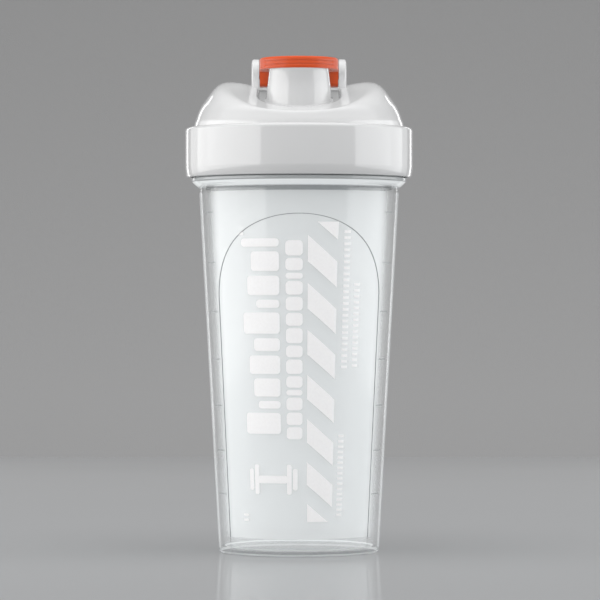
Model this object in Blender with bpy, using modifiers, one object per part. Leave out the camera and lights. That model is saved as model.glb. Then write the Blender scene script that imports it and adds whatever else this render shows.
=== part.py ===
"""A screw-top protein shaker bottle: clear tapered cup, drop-in strainer, screw lid with a
drinking spout, and an orange flip cap that hinges between two ears on the lid.

Units are metres, +Z is up, and -Y is the side a person drinks from. The origin is the centre
of the circle that the cup stands on. Run it with: blender --background --python part.py
"""

from math import cos, hypot, pi, radians, sin, sqrt, tau

import bmesh
import bpy
from mathutils import Matrix, Vector

# Clearances
GAP = 0.0003  # between faces that touch on the real bottle
RUNNING_GAP = 0.00035  # round a moving piece
THREAD_GAP = 0.0006  # radial, from a thread's crest to the wall that it faces
FLANK_GAP = 0.0004  # axial, between the loaded flanks of the two threads
OVERRUN = 0.002  # how far a cutter runs past what it cuts

# Cup
CUP_BASE_RADIUS = 0.0359
CUP_TOP_RADIUS = 0.0450
CUP_BODY_HEIGHT = 0.1635
CUP_WALL = 0.0019
CUP_FLOOR = 0.0018
BASE_ROUND = 0.0020
BASE_RECESS = 0.0008
FOOT_WIDTH = 0.0030
FLARE_HEIGHT = 0.0030
FLANGE_WIDTH = 0.0034  # how far it stands out from the top of the body
FLANGE_THICKNESS = 0.0015
NECK_HEIGHT = 0.0182
NECK_STEP = 0.0016  # how much wider the neck is than the top of the body
NECK_WALL = 0.0018
LEDGE_DROP = 0.0014  # of the strainer's ledge, below the flange's underside
LEDGE_RISE = 0.0008  # the ledge slopes up to the neck's bore

# Threads, right-handed and single-start
PITCH = 0.0050
THREAD_TURNS = 1.5
THREAD_HEIGHT = 0.0017
THREAD_ROOT = 0.0024
THREAD_CREST = 0.0012
THREAD_LEAD = radians(25)
THREAD_START = 0.0046  # of the cup's thread, above the flange

# Gasket and lid
GASKET_THICKNESS = 0.0016
SKIRT_WALL = 0.0024
SKIRT_TAPER = 0.0006
SKIRT_TAPER_HEIGHT = 0.0040
LID_TOP_WALL = 0.0022
SHOULDER_ROUND = 0.0014
SHOULDER_WIDTH = 0.0041
DOME_HEIGHT = 0.0214
DOME_CROWN_RADIUS = 0.0310
DOME_WALL = 0.0022
DOME_PULL_TOP = (0.0077, 0.0029)  # of the dome's curve: inside its foot, and below its crown
DOME_PULL_FOOT = (0.0018, 0.0087)  # inside its foot, and above the shoulder

# The valley that crosses the dome from front to back
SADDLE_HEIGHT = 0.0190  # of its middle, above the shoulder
VALLEY_SLOPE = 0.31
VALLEY_FRONT = 0.0015  # its level middle ends this far in front of the bottle's axis
VALLEY_BACK = 0.0110  # and this far behind it
VALLEY_ROUND = 0.0030
VALLEY_RISE = 0.0021  # gained sideways at the dome's crown radius
WELL_DEPTH = 0.0015
WELL_HALF_WIDTH = 0.0181
WELL_BACK = 0.0080  # behind the bottle's axis

# Spout
SPOUT_OFFSET = 0.0200  # from the bottle's axis, towards the front
SPOUT_RIM_RADIUS = 0.01295
SPOUT_DRAFT = 0.122
SPOUT_WALL = 0.0018
SPOUT_ROOT = 0.0040  # above the shoulder, where the tube starts inside the dome
SPOUT_RIM_ABOVE_SHOULDER = 0.0264

# Flip cap and its hinge
CAP_TOP_ABOVE_RIM = 0.0036
CAP_PLATE = 0.0020
CAP_LIP = 0.0051
CAP_HALF_WIDTH = 0.0175
CAP_LIP_WALL = 0.0025
CAP_ARM_WALL = 0.0040
ARM_REACH = 0.0085  # in front of the hinge
ARM_ROUND = 0.0016
CAP_EDGE_ROUND = 0.0010
HINGE_BEHIND_AXIS = 0.0010
HINGE_BELOW_CAP_TOP = 0.0055
BARREL_RADIUS = 0.0062
BACK_START = 60  # degrees above level, where the barrel's back leaves the cap's top
TRUNNION_RADIUS = 0.0025
EAR_RADIUS = 0.0066
EAR_THICKNESS = 0.0034
EAR_FOOT_HALF = 0.0085
EAR_FOOT_DEPTH = 0.0090  # below the hinge, inside the dome

# Seal under the flip cap
SEAL_FLANGE = 0.0010
SEAL_FLANGE_RADIUS = 0.0132
PLUG_DEPTH = 0.0016
PLUG_CLEARANCE = 0.00035
PLUG_TAPER = 0.0006

# Strainer
STRAINER_WALL = 0.0014
STRAINER_GRID = 0.0015
STRAINER_RIM = 0.0012
STRAINER_DEPTH = 0.0044
STRAINER_SIDE_GAP = 0.0004
STRAINER_BODY_GAP = 0.0012
HOLE_SIZE = 0.0056
HOLE_PITCH = 0.0078
HOLE_MARGIN = 0.0010  # left round the pattern of holes, inside the wall

# Facets
ROUND_STEPS = 64
THREAD_STEPS = 48
SADDLE_CELLS = 35  # an odd number keeps its lines off the dome's own edges at x = 0 and y = 0

# Levels and radii that follow from the sizes above
BODY_TAPER = (CUP_TOP_RADIUS - CUP_BASE_RADIUS) / CUP_BODY_HEIGHT
FLOOR_TOP = BASE_RECESS + CUP_FLOOR
FLANGE_LOW = CUP_BODY_HEIGHT + FLARE_HEIGHT
FLANGE_TOP = FLANGE_LOW + FLANGE_THICKNESS
RIM_TOP = FLANGE_TOP + NECK_HEIGHT
NECK_RADIUS = CUP_TOP_RADIUS + NECK_STEP
NECK_BORE = NECK_RADIUS - NECK_WALL
FLANGE_RADIUS = CUP_TOP_RADIUS + FLANGE_WIDTH
BODY_BORE = CUP_TOP_RADIUS - CUP_WALL
LEDGE_LOW = FLANGE_LOW - LEDGE_DROP
LEDGE_TOP = LEDGE_LOW + LEDGE_RISE
SKIRT_BORE = NECK_RADIUS + THREAD_HEIGHT + THREAD_GAP
SKIRT_RADIUS = SKIRT_BORE + SKIRT_WALL
SKIRT_LOW = FLANGE_TOP + GAP
CEILING = RIM_TOP + GASKET_THICKNESS + 2 * GAP
SHOULDER = CEILING + LID_TOP_WALL
DOME_RADIUS = SKIRT_RADIUS - SHOULDER_WIDTH
SADDLE = SHOULDER + SADDLE_HEIGHT
SPOUT_Y = -SPOUT_OFFSET
SPOUT_RIM = SHOULDER + SPOUT_RIM_ABOVE_SHOULDER
CAP_TOP = SPOUT_RIM + CAP_TOP_ABOVE_RIM
HINGE_Y = HINGE_BEHIND_AXIS
HINGE_Z = CAP_TOP - HINGE_BELOW_CAP_TOP
EAR_INNER = CAP_HALF_WIDTH + RUNNING_GAP
ARM_INNER = CAP_HALF_WIDTH - CAP_ARM_WALL
# Axial distance from the cup's thread down to the lid's, where the two trapezoids face
THREAD_OFFSET = (
    (THREAD_ROOT + THREAD_CREST) / 2
    - (THREAD_ROOT - THREAD_CREST) * THREAD_GAP / (2 * THREAD_HEIGHT)
    + FLANK_GAP
)


def clear_scene():
    for obj in list(bpy.data.objects):
        bpy.data.objects.remove(obj, do_unlink=True)


def collection(name):
    made = bpy.data.collections.new(name)
    bpy.context.scene.collection.children.link(made)
    return made


def plastic(name, colour, roughness, transmission=0.0):
    material = bpy.data.materials.new(name)
    material.use_nodes = True
    shader = material.node_tree.nodes["Principled BSDF"]
    shader.inputs["Base Color"].default_value = (*colour, 1)
    shader.inputs["Roughness"].default_value = roughness
    shader.inputs["Metallic"].default_value = 0
    shader.inputs["Transmission Weight"].default_value = transmission
    return material


def link_mesh(name, bm, where, material=None):
    """Makes an object of a bmesh, with its faces pointing out."""
    bmesh.ops.recalc_face_normals(bm, faces=bm.faces)
    mesh = bpy.data.meshes.new(name)
    bm.to_mesh(mesh)
    bm.free()
    obj = bpy.data.objects.new(name, mesh)
    where.objects.link(obj)
    if material:
        mesh.materials.append(material)
    return obj


def as_cutter(obj):
    obj.hide_render = True
    obj.display_type = "WIRE"
    return obj


def arc(centre, radius, start, end, steps):
    """Points of a circular arc in the (radius, height) plane, in degrees from +radius."""
    angles = [radians(start + (end - start) * i / steps) for i in range(steps + 1)]
    return [(centre[0] + radius * cos(a), centre[1] + radius * sin(a)) for a in angles]


def turned(name, profile, where, material=None, closed=False, steps=ROUND_STEPS):
    """A Screw modifier round Z on a profile of (radius, height), which runs down its outer side."""
    edges = [(i, i + 1) for i in range(len(profile) - 1)]
    if closed:
        edges.append((len(profile) - 1, 0))
    mesh = bpy.data.meshes.new(name)
    mesh.from_pydata([(r, 0, z) for r, z in profile], edges, [])
    obj = bpy.data.objects.new(name, mesh)
    where.objects.link(obj)
    screw = obj.modifiers.new("Turn", "SCREW")
    screw.steps = screw.render_steps = steps
    screw.use_merge_vertices = True
    screw.merge_threshold = 0.00001
    screw.use_smooth_shade = True
    if material:
        mesh.materials.append(material)
    return obj


def prism(name, outline, where, axis, low, high, material=None):
    """A flat outline drawn out from low to high. Axis X takes (y, z) points, and Z takes (x, y)."""
    bm = bmesh.new()
    if axis == "X":
        corners = [bm.verts.new((low, a, b)) for a, b in outline]
        along = Vector((high - low, 0, 0))
    else:
        corners = [bm.verts.new((a, b, low)) for a, b in outline]
        along = Vector((0, 0, high - low))
    face = bm.faces.new(corners)
    drawn = bmesh.ops.extrude_face_region(bm, geom=[face])["geom"]
    moved = [item for item in drawn if isinstance(item, bmesh.types.BMVert)]
    bmesh.ops.translate(bm, verts=moved, vec=along)
    return link_mesh(name, bm, where, material)


def cone(name, where, low_radius, high_radius, low, high, centre, steps=ROUND_STEPS):
    """An upright cone or cylinder about the point centre, from level low to level high."""
    bm = bmesh.new()
    place = Matrix.Translation((centre[0], centre[1], (low + high) / 2))
    bmesh.ops.create_cone(
        bm, cap_ends=True, segments=steps, radius1=low_radius, radius2=high_radius,
        depth=high - low, matrix=place,
    )
    return link_mesh(name, bm, where)


def rod(name, where, radius, low, high, steps=32):
    """A cylinder on the hinge's axis, from x = low to x = high."""
    bm = bmesh.new()
    place = Matrix.Translation(((low + high) / 2, HINGE_Y, HINGE_Z)) @ Matrix.Rotation(pi / 2, 4, "Y")
    bmesh.ops.create_cone(
        bm, cap_ends=True, segments=steps, radius1=radius, radius2=radius,
        depth=high - low, matrix=place,
    )
    return link_mesh(name, bm, where)


def combine(obj, other, operation):
    step = obj.modifiers.new(f"{operation.title()} {other.name}", "BOOLEAN")
    step.operation = operation
    step.object = other
    return obj


def thread(name, where, wall_radius, outward, start_level):
    """A trapezoid ridge along a helix on a wall, fading in and out over its lead."""
    sections = round(THREAD_TURNS * THREAD_STEPS)
    embed = THREAD_HEIGHT / 3
    bm = bmesh.new()
    rings = []
    for i in range(sections + 1):
        turned_by = THREAD_TURNS * tau * i / sections
        left = THREAD_TURNS * tau - turned_by
        grown = min(1, 0.2 + turned_by / THREAD_LEAD, 0.2 + left / THREAD_LEAD)
        level = start_level + PITCH * turned_by / tau
        crest = wall_radius + outward * THREAD_HEIGHT * grown
        root = wall_radius - outward * embed
        half_root = grown * THREAD_ROOT / 2
        half_crest = grown * THREAD_CREST / 2
        corners = [(root, -half_root), (wall_radius, -half_root), (crest, -half_crest),
                   (crest, half_crest), (wall_radius, half_root), (root, half_root)]
        rings.append([
            bm.verts.new((r * cos(turned_by), r * sin(turned_by), level + h)) for r, h in corners
        ])
    for first, second in zip(rings, rings[1:]):
        for j in range(len(first)):
            k = (j + 1) % len(first)
            bm.faces.new((first[j], first[k], second[k], second[j]))
    bm.faces.new(rings[0])
    bm.faces.new(rings[-1])
    return link_mesh(name, bm, where)


def body_radius(level):
    """The cup's outer radius below its flare."""
    return CUP_BASE_RADIUS + BODY_TAPER * level


def cup_profile():
    inner_floor = body_radius(FLOOR_TOP) - CUP_WALL
    foot_outer = CUP_BASE_RADIUS - BASE_ROUND
    foot_inner = foot_outer - FOOT_WIDTH
    return [
        (0, FLOOR_TOP),
        *arc((inner_floor - BASE_ROUND, FLOOR_TOP + BASE_ROUND), BASE_ROUND, -90, 0, 4),
        (BODY_BORE, LEDGE_LOW),
        (NECK_BORE, LEDGE_TOP),
        *arc((NECK_BORE + NECK_WALL / 2, RIM_TOP - NECK_WALL / 2), NECK_WALL / 2, 180, 0, 6),
        (NECK_RADIUS, FLANGE_TOP),
        (FLANGE_RADIUS, FLANGE_TOP),
        (FLANGE_RADIUS, FLANGE_LOW),
        *flare_points(),
        *arc((foot_outer, BASE_ROUND), BASE_ROUND, 0, -90, 4),
        (foot_inner, 0),
        (foot_inner - BASE_RECESS, BASE_RECESS),
        (0, BASE_RECESS),
    ]


def flare_points():
    """The hollow curve from the flange down to the body, a quarter of an ellipse."""
    steps = 5
    angles = [pi / 2 * i / steps for i in range(1, steps + 1)]
    width = FLANGE_RADIUS - CUP_TOP_RADIUS
    return [(FLANGE_RADIUS - width * sin(a), FLANGE_LOW - FLARE_HEIGHT * (1 - cos(a))) for a in angles]


def make_cup(parts, cutters, clear):
    cup = turned("cup", cup_profile(), parts, clear)
    ridge = thread("cup_thread", cutters, NECK_RADIUS, 1, FLANGE_TOP + THREAD_START)
    combine(cup, as_cutter(ridge), "UNION")


def make_strainer(parts, cutters, white):
    """A shallow basket that hangs from the ledge inside the cup's neck."""
    rim_radius = NECK_BORE - STRAINER_SIDE_GAP
    body = BODY_BORE - STRAINER_BODY_GAP
    rim_low = LEDGE_TOP + GAP
    low = rim_low - STRAINER_DEPTH + STRAINER_RIM
    profile = [
        (0, low + STRAINER_GRID),
        (body - STRAINER_WALL, low + STRAINER_GRID),
        (body - STRAINER_WALL, rim_low + STRAINER_RIM),
        (rim_radius, rim_low + STRAINER_RIM),
        (rim_radius, rim_low),
        (body, rim_low),
        (body, low),
        (0, low),
    ]
    strainer = turned("strainer", profile, parts, white)
    bm = bmesh.new()
    reach = int(body / HOLE_PITCH)
    limit = body - STRAINER_WALL - HOLE_SIZE * sqrt(0.5) - HOLE_MARGIN
    for i in range(-reach, reach + 1):
        for j in range(-reach, reach + 1):
            x, y = i * HOLE_PITCH, j * HOLE_PITCH
            if hypot(x, y) < limit:
                size = Matrix.Diagonal((HOLE_SIZE, HOLE_SIZE, 4 * STRAINER_GRID, 1))
                bmesh.ops.create_cube(bm, size=1, matrix=Matrix.Translation((x, y, low)) @ size)
    combine(strainer, as_cutter(link_mesh("strainer_holes", bm, cutters)), "DIFFERENCE")


def make_gasket(parts, silicone):
    inner = DOME_RADIUS - DOME_WALL + GAP
    outer = SKIRT_BORE - GAP
    low, high = RIM_TOP + GAP, RIM_TOP + GAP + GASKET_THICKNESS
    turned("lid_gasket", [(inner, high), (outer, high), (outer, low), (inner, low)], parts, silicone, True)


def dome_curve(wall=0.0):
    """The dome from its crown down to its foot, as a cubic curve of (radius, height)."""
    steps = 12
    ends = (DOME_CROWN_RADIUS, DOME_HEIGHT), (DOME_RADIUS, 0)
    pull_top = (DOME_RADIUS - DOME_PULL_TOP[0], DOME_HEIGHT - DOME_PULL_TOP[1])
    pull_foot = (DOME_RADIUS - DOME_PULL_FOOT[0], DOME_PULL_FOOT[1])
    points = []
    for i in range(steps + 1):
        t = i / steps
        share = (1 - t) ** 3, 3 * t * (1 - t) ** 2, 3 * t * t * (1 - t), t**3
        curve = ends[0], pull_top, pull_foot, ends[1]
        r, h = (sum(s * p[k] for s, p in zip(share, curve)) for k in (0, 1))
        points.append((r - wall, SHOULDER + h - wall * (1 - t)))
    return points


def lid_profile():
    taper_top = SKIRT_LOW + SKIRT_TAPER_HEIGHT
    crown = SHOULDER + DOME_HEIGHT
    return [
        (0, crown),
        *dome_curve(),
        *arc((SKIRT_RADIUS - SHOULDER_ROUND, SHOULDER - SHOULDER_ROUND), SHOULDER_ROUND, 90, 0, 4),
        (SKIRT_RADIUS, taper_top),
        (SKIRT_RADIUS - SKIRT_TAPER, SKIRT_LOW),
        (SKIRT_BORE, SKIRT_LOW),
        (SKIRT_BORE, CEILING),
        (0, CEILING),
    ]


def valley_level(x, y, rise):
    """The level of the valley's surface: a saddle, falling to front and back and rising sideways."""
    fall = 0
    for past in (-y - VALLEY_FRONT, y - VALLEY_BACK):
        fall += (past + sqrt(past * past + VALLEY_ROUND * VALLEY_ROUND)) / 2
    return SADDLE - VALLEY_SLOPE * fall + rise * abs(x / DOME_CROWN_RADIUS) ** 3


def space_above(name, cutters, drop, rise=VALLEY_RISE):
    """All the space above the valley's surface, lowered by drop."""
    reach = SKIRT_RADIUS + OVERRUN
    bm = bmesh.new()
    bmesh.ops.create_grid(bm, x_segments=SADDLE_CELLS, y_segments=SADDLE_CELLS, size=reach)
    drawn = bmesh.ops.extrude_face_region(bm, geom=list(bm.faces))["geom"]
    lifted = {item for item in drawn if isinstance(item, bmesh.types.BMVert)}
    for corner in bm.verts:
        if corner in lifted:
            corner.co.z = CAP_TOP + OVERRUN
        else:
            corner.co.z = valley_level(corner.co.x, corner.co.y, rise) - drop
    return as_cutter(link_mesh(name, bm, cutters))


def ear_outline():
    """The side view of a hinge ear: a round head on a wider foot."""
    foot = HINGE_Z - EAR_FOOT_DEPTH
    head = [(HINGE_Y + a, HINGE_Z + b) for a, b in arc((0, 0), EAR_RADIUS, -10, 190, 16)]
    return [(HINGE_Y + EAR_FOOT_HALF, foot), *head, (HINGE_Y - EAR_FOOT_HALF, foot)]


def well_plan():
    """The well round the spout from above: a round front, with straight sides that run back."""
    front = [(x, SPOUT_Y + y) for x, y in arc((0, 0), WELL_HALF_WIDTH, 0, -180, 32)]
    return [(WELL_HALF_WIDTH, WELL_BACK), *front, (-WELL_HALF_WIDTH, WELL_BACK)]


def spout_radius(level):
    return SPOUT_RIM_RADIUS + SPOUT_DRAFT * (SPOUT_RIM - level)


def make_lid(parts, cutters, white):
    lid = turned("lid", lid_profile(), parts, white)
    centre = (0, SPOUT_Y)
    combine(lid, space_above("valley", cutters, 0), "DIFFERENCE")

    well = prism("well", well_plan(), cutters, "Z", SHOULDER, CAP_TOP)
    combine(well, space_above("well_floor", cutters, WELL_DEPTH, 0), "INTERSECT")
    combine(lid, as_cutter(well), "DIFFERENCE")

    foot = SHOULDER + SPOUT_ROOT
    outside = cone("spout_outside", cutters, spout_radius(foot), SPOUT_RIM_RADIUS, foot, SPOUT_RIM, centre)
    combine(lid, as_cutter(outside), "UNION")
    for side, name in ((-1, "ear_left"), (1, "ear_right")):
        inner, outer = sorted((side * EAR_INNER, side * (EAR_INNER + EAR_THICKNESS)))
        combine(lid, as_cutter(prism(name, ear_outline(), cutters, "X", inner, outer)), "UNION")

    cavity_foot = DOME_RADIUS - DOME_WALL
    cavity_profile = [(0, SHOULDER + DOME_HEIGHT - DOME_WALL), *dome_curve(DOME_WALL),
                      (cavity_foot, CEILING - OVERRUN), (0, CEILING - OVERRUN)]
    cavity = as_cutter(turned("dome_inside", cavity_profile, cutters))
    combine(cavity, space_above("valley_inside", cutters, DOME_WALL + WELL_DEPTH / 2), "DIFFERENCE")
    combine(lid, cavity, "DIFFERENCE")
    low, high = foot - OVERRUN, SPOUT_RIM + OVERRUN
    bore = cone("spout_bore", cutters, spout_radius(low) - SPOUT_WALL, spout_radius(high) - SPOUT_WALL,
                low, high, centre)
    combine(lid, as_cutter(bore), "DIFFERENCE")

    sweep = rod("hinge_sweep", cutters, BARREL_RADIUS + RUNNING_GAP, -EAR_INNER, EAR_INNER, 48)
    combine(lid, as_cutter(sweep), "DIFFERENCE")
    reach = EAR_INNER + EAR_THICKNESS + OVERRUN
    sockets = rod("hinge_sockets", cutters, TRUNNION_RADIUS + RUNNING_GAP, -reach, reach)
    combine(lid, as_cutter(sockets), "DIFFERENCE")

    start = FLANGE_TOP + THREAD_START - THREAD_OFFSET
    combine(lid, as_cutter(thread("lid_thread", cutters, SKIRT_BORE, -1, start)), "UNION")


def cap_side_outline():
    """The flip cap from the side: a shallow lip in front, arms that reach lower, a round back."""
    front = SPOUT_Y - CAP_HALF_WIDTH - OVERRUN
    lip_low = CAP_TOP - CAP_LIP
    arm_low = HINGE_Z - BARREL_RADIUS
    arm_front = HINGE_Y - ARM_REACH
    top = CAP_TOP + OVERRUN
    back = arc((HINGE_Y, HINGE_Z), BARREL_RADIUS, BACK_START, -90, 20)
    toe = arc((arm_front + ARM_ROUND, arm_low + ARM_ROUND), ARM_ROUND, -90, -180, 5)
    return [(front, lip_low), (front, top), (HINGE_Y, top), *back, *toe, (arm_front, lip_low)]


def cap_plan(inset, back, neck_half):
    """The flip cap from above: a round front, then straight sides that run back to y = back."""
    radius = CAP_HALF_WIDTH - inset
    widest = min(neck_half, radius)
    front = [(x, SPOUT_Y + y) for x, y in arc((0, 0), radius, 0, -180, 36)]
    sides = arc((0, 0), radius, 40, 4, 4)
    shoulders = [(x, y) for x, y in sides if x > widest]
    right = [(widest, back)]
    if shoulders:
        meet = sqrt(radius * radius - widest * widest)
        right += [(widest, SPOUT_Y + meet)] + [(x, SPOUT_Y + y) for x, y in shoulders if y < meet]
    return right + front + [(-x, y) for x, y in reversed(right)]


def loft(name, outlines, where, material=None):
    """A solid through a stack of outlines, each a level and its (x, y) points."""
    bm = bmesh.new()
    rings = [[bm.verts.new((x, y, level)) for x, y in outline] for level, outline in outlines]
    for low, high in zip(rings, rings[1:]):
        for j in range(len(low)):
            k = (j + 1) % len(low)
            bm.faces.new((low[j], low[k], high[k], high[j]))
    bm.faces.new(rings[0])
    bm.faces.new(rings[-1])
    return link_mesh(name, bm, where, material)


def make_flip_cap(parts, cutters, orange):
    back = HINGE_Y + BARREL_RADIUS + OVERRUN
    low = HINGE_Z - BARREL_RADIUS - OVERRUN
    edge = arc((0, CAP_TOP - CAP_EDGE_ROUND), CAP_EDGE_ROUND, 0, 90, 5)
    outlines = [(low, cap_plan(0, back, CAP_HALF_WIDTH))]
    outlines += [(z, cap_plan(CAP_EDGE_ROUND - r, back, CAP_HALF_WIDTH)) for r, z in edge]
    cap = loft("flip_cap", outlines, parts, orange)
    reach = CAP_HALF_WIDTH + OVERRUN
    side = prism("cap_side", cap_side_outline(), cutters, "X", -reach, reach)
    combine(cap, as_cutter(side), "INTERSECT")

    hollow_outline = cap_plan(CAP_LIP_WALL, HINGE_Y, ARM_INNER)
    hollow = prism("cap_hollow", hollow_outline, cutters, "Z", low - OVERRUN, CAP_TOP - CAP_PLATE)
    combine(cap, as_cutter(hollow), "DIFFERENCE")
    barrel_bore = rod("barrel_bore", cutters, HINGE_BELOW_CAP_TOP - CAP_PLATE, -ARM_INNER, ARM_INNER, 48)
    combine(cap, as_cutter(barrel_bore), "DIFFERENCE")

    pin_end = EAR_INNER + EAR_THICKNESS - GAP
    pin_start = ARM_INNER + CAP_ARM_WALL / 2
    for name, side in (("pin_left", -1), ("pin_right", 1)):
        inner, outer = sorted((side * pin_start, side * pin_end))
        combine(cap, as_cutter(rod(name, cutters, TRUNNION_RADIUS, inner, outer)), "UNION")
    return cap


def make_spout_seal(parts, silicone):
    """A disc against the underside of the cap's plate, with a tapered plug below it."""
    top = CAP_TOP - CAP_PLATE - GAP
    under = top - SEAL_FLANGE
    plug = SPOUT_RIM_RADIUS - SPOUT_WALL - PLUG_CLEARANCE
    profile = [
        (0, top),
        (SEAL_FLANGE_RADIUS, top),
        (SEAL_FLANGE_RADIUS, under),
        (plug, under),
        (plug - PLUG_TAPER, under - PLUG_DEPTH),
        (0, under - PLUG_DEPTH),
    ]
    seal = turned("spout_seal", profile, parts, silicone, steps=48)
    seal.location.y = SPOUT_Y
    return seal


def on_hinge(name, pieces, where):
    """An empty on the hinge's axis, which carries the pieces that turn with the flip cap."""
    pivot = bpy.data.objects.new(name, None)
    pivot.location = (0, HINGE_Y, HINGE_Z)
    where.objects.link(pivot)
    for piece in pieces:
        piece.parent = pivot
        piece.matrix_parent_inverse = Matrix.Translation(-pivot.location)


clear_scene()
parts = collection("shaker_bottle")
cutters = collection("cutters")
clear = plastic("clear_plastic", (0.86, 0.90, 0.91), 0.12, transmission=0.9)
white = plastic("white_plastic", (0.80, 0.80, 0.79), 0.28)
grey = plastic("grey_plastic", (0.45, 0.47, 0.47), 0.45)
orange = plastic("orange_plastic", (0.66, 0.10, 0.02), 0.35)
silicone = plastic("silicone", (0.62, 0.63, 0.62), 0.6)

make_cup(parts, cutters, clear)
make_strainer(parts, cutters, grey)
make_gasket(parts, silicone)
make_lid(parts, cutters, white)
flip_cap = make_flip_cap(parts, cutters, orange)
spout_seal = make_spout_seal(parts, silicone)
on_hinge("flip_cap_hinge", (flip_cap, spout_seal), parts)
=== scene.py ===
"""A screw-top protein shaker: clear tapered cup with a printed panel, strainer, gasket, white
screw lid with a drinking spout, and an orange flip cap that closes it.

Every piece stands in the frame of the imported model: metres, +Z up, and the spout towards -Y.
"""

from math import cos, hypot, pi, radians, sin, tau

import bmesh
import bpy
import numpy as np
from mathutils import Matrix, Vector


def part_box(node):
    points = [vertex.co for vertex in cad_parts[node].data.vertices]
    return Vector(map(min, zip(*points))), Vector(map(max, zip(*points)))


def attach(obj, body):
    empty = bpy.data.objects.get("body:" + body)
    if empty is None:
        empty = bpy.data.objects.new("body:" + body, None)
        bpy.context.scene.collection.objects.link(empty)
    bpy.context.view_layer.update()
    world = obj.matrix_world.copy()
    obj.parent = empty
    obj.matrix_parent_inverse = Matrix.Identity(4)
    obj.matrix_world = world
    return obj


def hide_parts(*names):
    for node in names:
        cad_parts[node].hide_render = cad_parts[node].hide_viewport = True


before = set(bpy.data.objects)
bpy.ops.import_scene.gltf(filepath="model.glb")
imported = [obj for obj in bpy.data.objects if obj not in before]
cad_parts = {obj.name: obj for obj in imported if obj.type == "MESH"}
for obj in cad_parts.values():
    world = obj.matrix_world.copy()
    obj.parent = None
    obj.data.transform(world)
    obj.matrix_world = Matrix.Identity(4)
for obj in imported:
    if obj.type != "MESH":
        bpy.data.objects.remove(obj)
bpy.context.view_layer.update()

MM = 0.001

# ---------------------------------------------------------------------------
# The studio: a satin grey table top in front of a darker paper backdrop. A wide soft box stands
# at each side with a dimmer one beyond it, and two narrow ones behind the bottle light its
# edges. One overhead lifts the whole bottle, and stays out of its reflections.

WARM = (1.0, 0.995, 0.985)
COOL = (0.985, 0.995, 1.0)
PLAIN = (1, 1, 1)
SOFT_BOXES = {
    # name: (centre, target, width, height, power, colour)
    "left_box": ((-0.80, -0.27, 0.12), (0, -0.27, 0.10), 1.50, 0.72, 6.1, WARM),
    "left_end": ((-0.80, 0.70, 0.12), (0, 0.70, 0.10), 0.44, 0.72, 0.75, WARM),
    "right_box": ((0.80, 0.02, 0.12), (0, 0.02, 0.10), 1.08, 0.72, 3.9, COOL),
    "right_end": ((0.80, 0.74, 0.12), (0, 0.74, 0.10), 0.36, 0.72, 0.45, COOL),
    "left_rim": ((-0.44, 0.80, 0.15), (0, 0, 0.12), 0.10, 0.80, 0.45, PLAIN),
    "right_rim": ((0.44, 0.80, 0.15), (0, 0, 0.12), 0.10, 0.80, 0.45, PLAIN),
    "top_box": ((0, -0.15, 1.00), (0, 0, 0.1), 1.10, 0.90, 7.0, PLAIN),
}
for name, (centre, target, width, height, power, colour) in SOFT_BOXES.items():
    light = bpy.data.lights.new(name, "AREA")
    light.shape = "RECTANGLE"
    light.size, light.size_y = width, height
    light.energy = power
    light.color = colour
    stand = bpy.data.objects.new(name, light)
    stand.location = centre
    aim = Vector(target) - Vector(centre)
    stand.rotation_euler = aim.to_track_quat("-Z", "Y").to_euler()
    stand.visible_glossy = name != "top_box"
    bpy.context.scene.collection.objects.link(stand)

AIR_COLOUR = (0.71, 0.71, 0.715, 1)
AIR_STRENGTH = 1.06
world = bpy.data.worlds.new("studio_air")
world.use_nodes = True
air = world.node_tree.nodes["Background"]
air.inputs["Color"].default_value = AIR_COLOUR
air.inputs["Strength"].default_value = AIR_STRENGTH
bpy.context.scene.world = world
bpy.context.scene.view_settings.view_transform = "Standard"

SENSOR_WIDTH = 36
LENS_LENGTH = 204
CAMERA_PLACE = (0.45 * MM, -1.53, 113.3 * MM)
lens = bpy.data.cameras.new("studio_camera")
lens.sensor_width = SENSOR_WIDTH
lens.lens = LENS_LENGTH
camera = bpy.data.objects.new("studio_camera", lens)
camera.location = CAMERA_PLACE
camera.rotation_euler = (radians(90), 0, 0)
bpy.context.scene.collection.objects.link(camera)
bpy.context.scene.camera = camera


def plug(tree, socket, value):
    """Sets a socket, or links it when the value is a signal."""
    if isinstance(value, Signal):
        tree.links.new(value.socket, socket)
    elif hasattr(value, "__len__") and len(value) == 3 and len(socket.default_value) == 4:
        socket.default_value = (*value, 1)
    else:
        socket.default_value = value


class Signal:
    """The output of a shader node. Arithmetic on it adds Math nodes."""

    def __init__(self, tree, socket):
        self.tree, self.socket = tree, socket

    def math(self, operation, *values):
        node = self.tree.nodes.new("ShaderNodeMath")
        node.operation = operation
        for socket, value in zip(node.inputs, values):
            plug(self.tree, socket, value)
        return Signal(self.tree, node.outputs[0])

    def __add__(self, other):
        return self.math("ADD", self, other)

    def __sub__(self, other):
        return self.math("SUBTRACT", self, other)

    def __rsub__(self, other):
        return self.math("SUBTRACT", other, self)

    def __mul__(self, other):
        return self.math("MULTIPLY", self, other)

    __radd__ = __add__
    __rmul__ = __mul__

    def clamped(self):
        return self.math("MAXIMUM", self.math("MINIMUM", self, 1), 0)


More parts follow.
